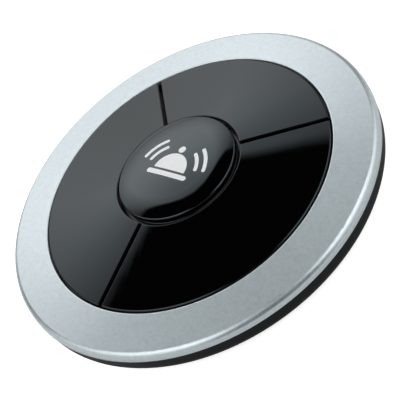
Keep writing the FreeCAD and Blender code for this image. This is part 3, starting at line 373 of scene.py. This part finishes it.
@dataclass(frozen=True)
class PlatedMetal:
    """Plated or bare metal with a fine directional brush and faint tarnish."""

    colour: Colour
    roughness: float = 0.25
    roughness_swing: Range = (0.8, 1.3)
    roughness_span: Range = (0.3, 0.7)
    brush: float = 0.8 * MM
    brush_detail: float = 4.0
    brush_stretch: tuple[float, float, float] = (1.0, 14.0, 1.0)
    brush_depth: float = 0.004 * MM
    brush_strength: float = 0.3
    tarnish: float = 3.2 * MM
    tarnish_detail: float = 3.0
    tarnish_span: Range = (0.35, 0.7)
    duller: float = 0.82

    def material(self, name: str) -> bpy.types.Material:
        """Make the metal.

        Args:
            name: name of the material.

        Returns:
            The material.
        """
        tree = Tree.of_material(name)
        stretch = tree.node("Mapping", Vector=tree.coordinates, Scale=self.brush_stretch)
        brush = tree.noise(self.brush, self.brush_detail, stretch.outputs["Vector"])
        tarnish = tree.noise(self.tarnish, self.tarnish_detail)
        duller = tuple(part * self.duller for part in self.colour)
        colour = tree.tint(tarnish, self.tarnish_span, self.colour, duller)
        polished, dulled = (self.roughness * swing for swing in self.roughness_swing)
        rough = tree.ramp(brush, self.roughness_span, polished, dulled)
        normal = tree.bump(brush, self.brush_depth, self.brush_strength)
        return tree.finish(Base_Color=colour, Metallic=1.0, Roughness=rough, Normal=normal)


@dataclass(frozen=True)
class WhiteInk:
    """Pad-printed white ink."""

    colour: Colour = (0.78, 0.80, 0.81)
    thinner: float = 0.93
    roughness: float = 0.42
    cover: float = 0.25 * MM
    cover_detail: float = 3.0
    cover_span: Range = (0.35, 0.6)
    cover_depth: float = 0.004 * MM
    cover_strength: float = 0.3

    def material(self, name: str) -> bpy.types.Material:
        """Make the ink.

        Args:
            name: name of the material.

        Returns:
            The material.
        """
        tree = Tree.of_material(name)
        cover = tree.noise(self.cover, self.cover_detail)
        thin = tuple(part * self.thinner for part in self.colour)
        colour = tree.tint(cover, self.cover_span, thin, self.colour)
        normal = tree.bump(cover, self.cover_depth, self.cover_strength)
        return tree.finish(Base_Color=colour, Roughness=self.roughness, Normal=normal)


class Finish(Enum):
    """The finishes of the button, by the record's slot."""

    BEZEL = "bezel_silver"
    KEY = "key_gloss"
    CENTRE = "centre_gloss"
    INK = "legend_ink"
    BASE = "base_black"
    FRAME = "frame_black"
    FOOT = "foot_rubber"
    BOARD = "board_green"
    CONTACT = "contact_nickel"
    CELL = "cell_steel"
    CHIP = "chip_black"
    CAPACITOR = "capacitor_tan"
    ANTENNA = "antenna_copper"
    SCREW = "screw_steel"


RECIPES: dict[Finish, Recipe] = {
    Finish.BEZEL: SilverPaint(),
    Finish.KEY: GlossBlack(ior=1.5),
    Finish.CENTRE: GlossBlack(ior=1.58),
    Finish.INK: WhiteInk(),
    Finish.BASE: MouldedPlastic((0.004, 0.005, 0.0055), roughness=0.42, specular=0.16),
    Finish.FRAME: MouldedPlastic((0.008, 0.008, 0.009), roughness=0.3),
    Finish.FOOT: MouldedPlastic((0.03, 0.03, 0.03), roughness=0.8),
    Finish.BOARD: MouldedPlastic((0.01, 0.11, 0.045), roughness=0.3),
    Finish.CONTACT: PlatedMetal((0.62, 0.60, 0.56)),
    Finish.CELL: PlatedMetal((0.66, 0.66, 0.66), roughness=0.22),
    Finish.CHIP: MouldedPlastic((0.02, 0.02, 0.022), roughness=0.5),
    Finish.CAPACITOR: MouldedPlastic((0.45, 0.30, 0.16), roughness=0.5),
    Finish.ANTENNA: PlatedMetal((0.75, 0.33, 0.16), roughness=0.3),
    Finish.SCREW: PlatedMetal((0.55, 0.55, 0.55), roughness=0.3),
}


class Wardrobe:
    """The finishes' materials, each made once."""

    def __init__(self) -> None:
        """Start with no material made."""
        self.made: dict[Finish, bpy.types.Material] = {}

    def material(self, finish: Finish) -> bpy.types.Material:
        """Material of a finish, made when it is first asked for.

        Args:
            finish: the finish.

        Returns:
            Its material.
        """
        if finish not in self.made:
            self.made[finish] = RECIPES[finish].material(finish.value)
        return self.made[finish]

    def dress(self, piece: bpy.types.Object, finish: Finish) -> None:
        """Put a finish in every slot of a piece, and in a first slot if it has none.

        Args:
            piece: a node of the frame, or a piece made here.
            finish: what it wears.
        """
        material = self.material(finish)
        if not piece.data.materials:
            piece.data.materials.append(material)
        for slot in piece.material_slots:
            slot.material = material
        LOG.info("%s wears %s", piece.name, finish.value)


# ---------------------------------------------------------------------------------------------
# Printed marks
# ---------------------------------------------------------------------------------------------


class Surface:
    """The upper side of a node of the frame, for laying thin things on it."""

    LOOK_FROM = 0.1

    def __init__(self, node: str) -> None:
        """Take the node's mesh in the part's own frame.

        Args:
            node: name of the node.
        """
        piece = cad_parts[node]
        mesh = bmesh.new()
        mesh.from_mesh(piece.data)
        mesh.transform(piece.matrix_world)
        self.tree = BVHTree.FromBMesh(mesh)
        mesh.free()

    def height(self, x: float, y: float) -> float:
        """Height of the surface over a place in plan.

        Args:
            x: the place.
            y: the place.

        Returns:
            The height, or 0 beside the node.
        """
        start = Vector((x, y, self.LOOK_FROM))
        hit = self.tree.ray_cast(start, Vector((0.0, 0.0, -1.0)))[0]
        return hit.z if hit is not None else 0.0


class Marks:
    """Flat outlines that become one thin sheet laid on a surface."""

    DISC_SEGMENTS = 64
    HALF_DISC_SEGMENTS = 96
    ARC_STEP_DEG = 3.0
    ARC_STEPS_LEAST = 8
    CORNER_SEGMENTS = 6
    BAR_ROUNDING = 0.49
    ARC_ROUNDING = 0.45
    AT_EDGE = 0.999

    def __init__(self, name: str) -> None:
        """Start with no outline."""
        self.name = name
        self.sheet = bmesh.new()

    def add(self, outline: bmesh.types.BMesh, x: float, y: float, turn_deg: float = 0.0) -> None:
        """Turn an outline about the origin, move it to its place and add it to the sheet.

        Args:
            outline: faces in the plane z = 0, freed here.
            x: where the outline's origin goes.
            y: where the outline's origin goes.
            turn_deg: turn before the move, anticlockwise from above.
        """
        bmesh.ops.rotate(outline, cent=(0, 0, 0), verts=outline.verts[:],
                         matrix=Matrix.Rotation(math.radians(turn_deg), 3, "Z"))
        bmesh.ops.translate(outline, vec=(x, y, 0.0), verts=outline.verts[:])
        carrier = bpy.data.meshes.new(self.name + "_outline")
        outline.to_mesh(carrier)
        outline.free()
        self.sheet.from_mesh(carrier)
        bpy.data.meshes.remove(carrier)

    def round_corners(self, outline: bmesh.types.BMesh, corners: list[bmesh.types.BMVert],
                      radius: float) -> None:
        """Round corners of an outline.

        Args:
            outline: the outline.
            corners: its corners to round.
            radius: reach of the rounding along the sides.
        """
        bmesh.ops.bevel(outline, geom=corners, offset=radius, offset_type="OFFSET",
                        segments=self.CORNER_SEGMENTS, profile=0.5, affect="VERTICES",
                        material=-1)

    def disc(self, radius: float, x: float, y: float) -> None:
        """Add a disc.

        Args:
            radius: its radius.
            x: place of its middle.
            y: place of its middle.
        """
        outline = bmesh.new()
        bmesh.ops.create_circle(outline, cap_ends=True, segments=self.DISC_SEGMENTS,
                                radius=radius)
        self.add(outline, x, y)

    def half_disc(self, radius: float, x: float, y: float, rounding: float) -> None:
        """Add the upper half of a disc with its two corners rounded.

        Args:
            radius: its radius.
            x: place of the whole disc's middle.
            y: height of its straight side.
            rounding: radius of its corners.
        """
        outline = bmesh.new()
        bmesh.ops.create_circle(outline, cap_ends=True, segments=self.HALF_DISC_SEGMENTS,
                                radius=radius)
        bmesh.ops.bisect_plane(
            outline, geom=outline.verts[:] + outline.edges[:] + outline.faces[:],
            plane_co=(0, 0, 0), plane_no=(0, -1, 0), clear_outer=True)
        corners = [vertex for vertex in outline.verts
                   if abs(vertex.co.x) > radius * self.AT_EDGE]
        self.round_corners(outline, corners, rounding)
        self.add(outline, x, y)

    def bar(self, width: float, height: float, x: float, y: float) -> None:
        """Add a bar with rounded ends.

        Args:
            width: its length along x.
            height: its length along y.
            x: place of its middle.
            y: place of its middle.
        """
        outline = bmesh.new()
        bmesh.ops.create_grid(outline, x_segments=1, y_segments=1, size=0.5)
        bmesh.ops.scale(outline, vec=(width, height, 1.0), verts=outline.verts[:])
        self.round_corners(outline, outline.verts[:], self.BAR_ROUNDING * min(width, height))
        self.add(outline, x, y)

    def arc(self, radius: float, width: float, middle_deg: float, span_deg: float,
            x: float, y: float) -> None:
        """Add a band of a ring with rounded ends.

        Args:
            radius: radius of the band's middle line.
            width: width of the band.
            middle_deg: direction of the band's middle, from +x.
            span_deg: angle that the band covers, less than a full turn.
            x: place of the ring's middle.
            y: place of the ring's middle.
        """
        outline = bmesh.new()
        ends = [outline.verts.new((radius + side * width / 2, 0.0, 0.0)) for side in (-1, 1)]
        steps = max(self.ARC_STEPS_LEAST, round(span_deg / self.ARC_STEP_DEG))
        made = bmesh.ops.spin(outline, geom=ends + [outline.edges.new(ends)], cent=(0, 0, 0),
                              axis=(0, 0, 1), angle=math.radians(span_deg), steps=steps)
        ends += [part for part in made["geom_last"] if isinstance(part, bmesh.types.BMVert)]
        self.round_corners(outline, ends, self.ARC_ROUNDING * width)
        self.add(outline, x, y, middle_deg - span_deg / 2)

    def lay(self, surface: Surface, height: float, sink: float,
            cell: float) -> bpy.types.Object:
        """Lay the sheet on a surface, following its shape.

        Args:
            surface: what it lies on.
            height: how far it stands out.
            sink: how far it reaches into the surface, so that no gap shows.
            cell: longest straight piece of the sheet.

        Returns:
            The finished object.
        """
        sheet = self.sheet
        for axis in range(2):
            places = [vertex.co[axis] for vertex in sheet.verts]
            normal = Vector((1.0 - axis, float(axis), 0.0))
            for step in range(math.ceil(min(places) / cell), math.floor(max(places) / cell) + 1):
                bmesh.ops.bisect_plane(
                    sheet, geom=sheet.verts[:] + sheet.edges[:] + sheet.faces[:],
                    plane_co=normal * step * cell, plane_no=normal)
        bmesh.ops.recalc_face_normals(sheet, faces=sheet.faces[:])
        bmesh.ops.solidify(sheet, geom=sheet.faces[:], thickness=height + sink)
        middle = sum(vertex.co.z for vertex in sheet.verts) / len(sheet.verts)
        for vertex in sheet.verts:
            outward = height if vertex.co.z > middle else -sink
            vertex.co.z = surface.height(vertex.co.x, vertex.co.y) + outward
        bmesh.ops.triangulate(sheet, faces=sheet.faces[:])
        bmesh.ops.recalc_face_normals(sheet, faces=sheet.faces[:])
        return place_shape(self.name, sheet)


# ---------------------------------------------------------------------------------------------
# Sub-assemblies
# ---------------------------------------------------------------------------------------------


@dataclass
class SubAssembly:
    """Pieces that belong together: nodes of the frame and what is built on them."""

    wears: dict[str, Finish]

    def build(self, wardrobe: Wardrobe) -> list[bpy.types.Object]:
        """Make the pieces that the frame doesn't hold; none, unless a sub-assembly says so."""
        return []

    def dress(self, wardrobe: Wardrobe) -> None:
        """Give each node whose name starts as the table says its finish.

        Args:
            wardrobe: where the materials come from.
        """
        for name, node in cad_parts.items():
            for start, finish in self.wears.items():
                if name.startswith(start):
                    wardrobe.dress(node, finish)


@dataclass
class CentreButton(SubAssembly):
    """Domed key in the middle, with a white service bell printed on its crown."""

    wears: dict[str, Finish] = field(default_factory=lambda: {"centre_key": Finish.CENTRE})
    dome_radius: float = 4.3 * MM
    dome_rounding: float = 0.35 * MM
    base_width: float = 11.2 * MM
    base_height: float = 1.15 * MM
    gap: float = 0.55 * MM
    knob_gap: float = 0.33 * MM
    knob_radius: float = 0.85 * MM
    arc_radii: tuple[float, float] = (6.6 * MM, 8.6 * MM)
    arc_width: float = 0.85 * MM
    arc_middle_deg: float = 33.0
    arc_span_deg: float = 44.0
    below_middle: float = 2.9 * MM
    print_height: float = 0.02 * MM
    print_sink: float = 0.015 * MM
    print_cell: float = 0.7 * MM

    def build(self, wardrobe: Wardrobe) -> list[bpy.types.Object]:
        """Print the bell on the crown.

        Args:
            wardrobe: where the ink comes from.

        Returns:
            The printed bell.
        """
        bell = Marks("bell_print")
        foot = -self.below_middle
        flat = foot + self.base_height / 2 + self.gap
        bell.bar(self.base_width, self.base_height, 0.0, foot)
        bell.half_disc(self.dome_radius, 0.0, flat, self.dome_rounding)
        bell.disc(self.knob_radius, 0.0,
                  flat + self.dome_radius + self.knob_gap + self.knob_radius)
        for radius in self.arc_radii:
            for middle in (self.arc_middle_deg, 180.0 - self.arc_middle_deg):
                bell.arc(radius, self.arc_width, middle, self.arc_span_deg, 0.0, flat)
        mark = bell.lay(Surface("centre_key"), self.print_height, self.print_sink,
                        self.print_cell)
        wardrobe.dress(mark, Finish.INK)
        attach(mark, "centre_button")
        return [mark]


@dataclass
class SectorButtons(SubAssembly):
    """Three glossy keys round the middle."""

    wears: dict[str, Finish] = field(default_factory=lambda: {"sector_key": Finish.KEY})


@dataclass
class Housing(SubAssembly):
    """Bezel, base, frame under the keys, feet and screws."""

    wears: dict[str, Finish] = field(default_factory=lambda: {
        "bezel_ring": Finish.BEZEL, "base_shell": Finish.BASE, "key_frame": Finish.FRAME,
        "rubber_feet": Finish.FOOT, "housing_screws": Finish.SCREW,
        "board_screws": Finish.SCREW})


@dataclass
class Electronics(SubAssembly):
    """Board, switches, chips, resonator and loop antenna."""

    wears: dict[str, Finish] = field(default_factory=lambda: {
        "circuit_board": Finish.BOARD, "switch_case": Finish.CHIP,
        "switch_cover": Finish.CONTACT, "switch_dome": Finish.CONTACT,
        "switch_plunger": Finish.FRAME, "encoder_chip": Finish.CHIP,
        "transistor": Finish.CHIP, "chip_resistors": Finish.CHIP,
        "chip_capacitors": Finish.CAPACITOR, "resonator": Finish.CONTACT,
        "loop_antenna": Finish.ANTENNA})


@dataclass
class BatteryBay(SubAssembly):
    """Coin cell, its holder and contacts, and the door below."""

    wears: dict[str, Finish] = field(default_factory=lambda: {
        "coin_cell": Finish.CELL, "battery_holder": Finish.FRAME,
        "positive_clip": Finish.CONTACT, "negative_contact": Finish.CONTACT,
        "battery_door": Finish.BASE})


# ---------------------------------------------------------------------------------------------
# Studio
# ---------------------------------------------------------------------------------------------


@dataclass
class Camera:
    """Camera at the viewing angle, above and to one side of the button."""

    target: Vector = field(default_factory=lambda: Vector((0.0, 0.0, 8.6 * MM)))
    distance: float = 366.08 * MM
    azimuth_deg: float = 62.31
    elevation_deg: float = 41.157
    roll_deg: float = -36.622
    tilt_deg: float = 0.818
    pan_deg: float = 0.0124
    lens_mm: float = 154.2
    sensor_mm: float = 36.0
    nearest: float = 0.02
    farthest: float = 20.0

    def back(self) -> Vector:
        """Direction from the target to the camera.

        Returns:
            The direction, of length 1.
        """
        azimuth, elevation = math.radians(self.azimuth_deg), math.radians(self.elevation_deg)
        return Vector((math.sin(azimuth) * math.cos(elevation),
                       -math.cos(azimuth) * math.cos(elevation), math.sin(elevation)))

    def build(self) -> None:
        """Make the camera and give it to the scene."""
        data = bpy.data.cameras.new("camera")
        data.lens, data.sensor_width = self.lens_mm, self.sensor_mm
        data.clip_start, data.clip_end = self.nearest, self.farthest
        camera = bpy.data.objects.new("camera", data)
        bpy.context.scene.collection.objects.link(camera)
        look = self.back().to_track_quat("Z", "Y").to_matrix()
        aside = (Matrix.Rotation(math.radians(self.pan_deg), 3, "Y")
                 @ Matrix.Rotation(-math.radians(self.tilt_deg), 3, "X")
                 @ Matrix.Rotation(math.radians(self.roll_deg), 3, "Z"))
        place = (look @ aside).to_4x4()
        place.translation = self.target + self.back() * self.distance
        camera.matrix_world = place
        bpy.context.scene.camera = camera


@dataclass(frozen=True)
class Falloff:
    """Value over an angle: straight lines between stops of (degrees, value)."""

    stops: tuple[tuple[float, float], ...]

    def at(self, angle_deg: float) -> float:
        """Value at an angle; the end stops hold beyond them.

        Args:
            angle_deg: the angle.

        Returns:
            The value.
        """
        if angle_deg <= self.stops[0][0]:
            return self.stops[0][1]
        for (start, low), (end, high) in zip(self.stops, self.stops[1:]):
            if angle_deg <= end:
                return low + (high - low) * (angle_deg - start) / (end - start)
        return self.stops[-1][1]


@dataclass(frozen=True)
class Panel:
    """A curved sheet of light whose brightness changes over its height and its width.

    Its height is an angle above the desk and its width an angle round the button. The rise is
    its brightness over height, the spread its brightness over width, and the top the height in
    degrees at which it ends over width.
    """

    name: str
    azimuth_deg: float
    half_width_deg: float
    high_deg: float
    radiance: float
    rise: Falloff
    spread: Falloff
    top: Falloff = Falloff(((0.0, 90.0),))
    low_deg: float = 0.5
    edge_deg: float = 3.0
    reach: float = 0.9
    steps: int = 48
    seam: float = 0.001 * MM

    def build(self) -> None:
        """Make the sheet as a patch of a sphere round the button."""
        shape = bmesh.new()
        low, high = math.radians(self.low_deg), math.radians(self.high_deg)
        start = math.radians(self.azimuth_deg - self.half_width_deg)
        first = shape.verts.new((math.cos(start) * math.cos(low) * self.reach,
                                 math.sin(start) * math.cos(low) * self.reach,
                                 math.sin(low) * self.reach))
        sideways = Vector((math.sin(start), -math.cos(start), 0.0))
        bmesh.ops.spin(shape, geom=[first], cent=(0, 0, 0), axis=sideways, angle=high - low,
                       steps=self.steps)
        bmesh.ops.spin(shape, geom=shape.verts[:] + shape.edges[:], cent=(0, 0, 0),
                       axis=(0, 0, 1), angle=math.radians(2.0 * self.half_width_deg),
                       steps=self.steps)
        bmesh.ops.remove_doubles(shape, verts=shape.verts[:], dist=self.seam)
        bmesh.ops.recalc_face_normals(shape, faces=shape.faces[:])
        share = shape.verts.layers.float.new("share")
        for vertex in shape.verts:
            vertex[share] = self.share(vertex.co)
        sheet = place_shape(self.name, shape)
        sheet.data.materials.append(self.light())
        sheet.visible_camera = False

    def light(self) -> bpy.types.Material:
        """Make the light, as strong as each place's share says.

        Returns:
            The material.
        """
        tree = Tree.of_material(self.name)
        share = tree.node("Attribute", {"attribute_name": "share"}).outputs["Fac"]
        strength = tree.arithmetic("MULTIPLY", share, self.radiance)
        tree.show(tree.node("Emission", Color=WHITE, Strength=strength))
        return tree.owner

    def share(self, place: Vector) -> float:
        """Brightness of a place on the sheet, as a share of the radiance.

        Args:
            place: the place, from the button.

        Returns:
            The share, from 0 to 1.
        """
        height = math.degrees(math.asin(max(-1.0, min(1.0, place.z / place.length))))
        aside = math.degrees(math.atan2(place.y, place.x)) - self.azimuth_deg
        aside = abs((aside + 180.0) % 360.0 - 180.0)
        inside = min(1.0, max(0.0, (self.top.at(aside) - height) / self.edge_deg))
        return self.rise.at(height) * self.spread.at(aside) * inside


BACK_RISE = Falloff(((13.0, 0.36), (18.0, 0.52), (24.0, 0.67), (28.0, 0.80), (34.0, 0.94),
                     (40.0, 0.92), (46.0, 0.78), (52.0, 0.60), (60.0, 0.45)))
BACK_SPREAD = Falloff(((16.0, 1.0), (24.0, 0.70), (30.0, 0.48), (36.0, 0.20), (42.0, 0.0)))
BACK_TOP = Falloff(((0.0, 64.0), (10.0, 62.0), (20.0, 55.0), (30.0, 49.5), (42.0, 47.0)))
FRONT_RISE = Falloff(((30.0, 1.0), (48.0, 0.0)))
FRONT_SPREAD = Falloff(((50.0, 1.0), (80.0, 0.0)))
SIDE_RISE = Falloff(((0.0, 0.26), (14.0, 0.28), (25.0, 0.36), (37.0, 0.54), (48.0, 0.74),
                     (56.0, 0.90), (62.0, 1.0), (70.0, 1.0), (76.0, 0.0)))
SIDE_SPREAD = Falloff(((41.0, 1.0), (50.0, 0.0)))


@dataclass
class Studio:
    """Pale floor, white surround, black cards, three softboxes and a dim wall in front."""

    floor_radius: float = 1.5
    floor_segments: int = 96
    floor_colour: Colour = (0.7, 0.7, 0.7)
    floor_seen_glow: float = 0.84
    floor_mirrored_glow: float = 0.08
    world_seen: float = 1.0
    world_fill: float = 0.4
    card_radius: float = 1.6
    card_segments: int = 48
    card_rings: int = 24
    card_dip: float = 1.0 * MM
    far_deg: float = 152.3
    side_deg: float = 99.0

    def build(self) -> None:
        """Make the floor, the surround, the cards and the panels of light."""
        self.floor()
        self.surround()
        self.cards()
        for panel in self.panels():
            panel.build()

    def panels(self) -> list[Panel]:
        """Set up the panels of light, by their direction from the button.

        Returns:
            The panel on the far side, the one in front and the two at the sides.
        """
        back = Panel("softbox_back", azimuth_deg=self.far_deg, half_width_deg=42.0,
                     high_deg=64.0, radiance=2.1, rise=BACK_RISE, spread=BACK_SPREAD,
                     top=BACK_TOP)
        front = Panel("wall_front", azimuth_deg=self.far_deg + 180.0, half_width_deg=80.0,
                      high_deg=50.0, radiance=0.08, rise=FRONT_RISE, spread=FRONT_SPREAD,
                      reach=1.0)
        sides = [Panel(name, azimuth_deg=self.far_deg + turn_deg, half_width_deg=50.0,
                       high_deg=77.0, radiance=2.35, rise=SIDE_RISE, spread=SIDE_SPREAD)
                 for name, turn_deg in (("softbox_left", -self.side_deg),
                                        ("softbox_right", self.side_deg))]
        return [back, front, *sides]

    def floor(self) -> None:
        """Pale floor that shows white to the camera and keeps the button's soft shadow."""
        shape = bmesh.new()
        bmesh.ops.create_circle(shape, cap_ends=True, segments=self.floor_segments,
                                radius=self.floor_radius)
        floor = place_shape("floor", shape)
        tree = Tree.of_material("floor_white")
        path = tree.node("LightPath")
        mirrored = tree.arithmetic("MULTIPLY", path.outputs["Is Glossy Ray"],
                                   self.floor_mirrored_glow)
        strength = tree.arithmetic("MULTIPLY_ADD", path.outputs["Is Camera Ray"],
                                   self.floor_seen_glow, mirrored)
        sheet = tree.node("BsdfDiffuse", Color=self.floor_colour)
        glow = tree.node("Emission", Color=WHITE, Strength=strength)
        both = tree.node("AddShader")
        tree.feed_in_order(list(both.inputs), (sheet.outputs[0], glow.outputs[0]))
        tree.show(both)
        floor.data.materials.append(tree.owner)

    def surround(self) -> None:
        """White world for what sees it directly, and a dim even fill for the rest."""
        world = bpy.data.worlds.new("surround")
        bpy.context.scene.world = world
        tree = Tree(world, "OutputWorld")
        path = tree.node("LightPath")
        seen = tree.arithmetic("MAXIMUM", path.outputs["Is Camera Ray"],
                               path.outputs["Is Glossy Ray"])
        seen = tree.arithmetic("MAXIMUM", seen, path.outputs["Is Transmission Ray"])
        strength = tree.ramp(seen, (0.0, 1.0), self.world_fill, self.world_seen)
        tree.show(tree.node("Background", Color=WHITE, Strength=strength))

    def cards(self) -> None:
        """Black cards overhead and all round, which only reflections see."""
        shape = bmesh.new()
        bmesh.ops.create_uvsphere(shape, u_segments=self.card_segments,
                                  v_segments=self.card_rings, radius=self.card_radius)
        below = [vertex for vertex in shape.verts if vertex.co.z < -self.card_dip]
        bmesh.ops.delete(shape, geom=below, context="VERTS")
        cards = place_shape("black_cards", shape)
        tree = Tree.of_material("card_black")
        tree.show(tree.node("BsdfDiffuse", Color=BLACK))
        cards.data.materials.append(tree.owner)
        cards.visible_camera = False
        cards.visible_diffuse = False
        cards.visible_shadow = False
        cards.visible_transmission = False


# ---------------------------------------------------------------------------------------------
# Build
# ---------------------------------------------------------------------------------------------


def main() -> None:
    """Build the button's looks, its studio and its camera."""
    wardrobe = Wardrobe()
    parts = (Housing(), CentreButton(), SectorButtons(), BatteryBay(), Electronics())
    for part in parts:
        part.dress(wardrobe)
        for piece in part.build(wardrobe):
            LOG.info("%s made: %d faces", piece.name, len(piece.data.polygons))
    Studio().build()
    Camera().build()
    bpy.context.scene.view_settings.view_transform = "Standard"


if __name__ == "__main__":
    main()
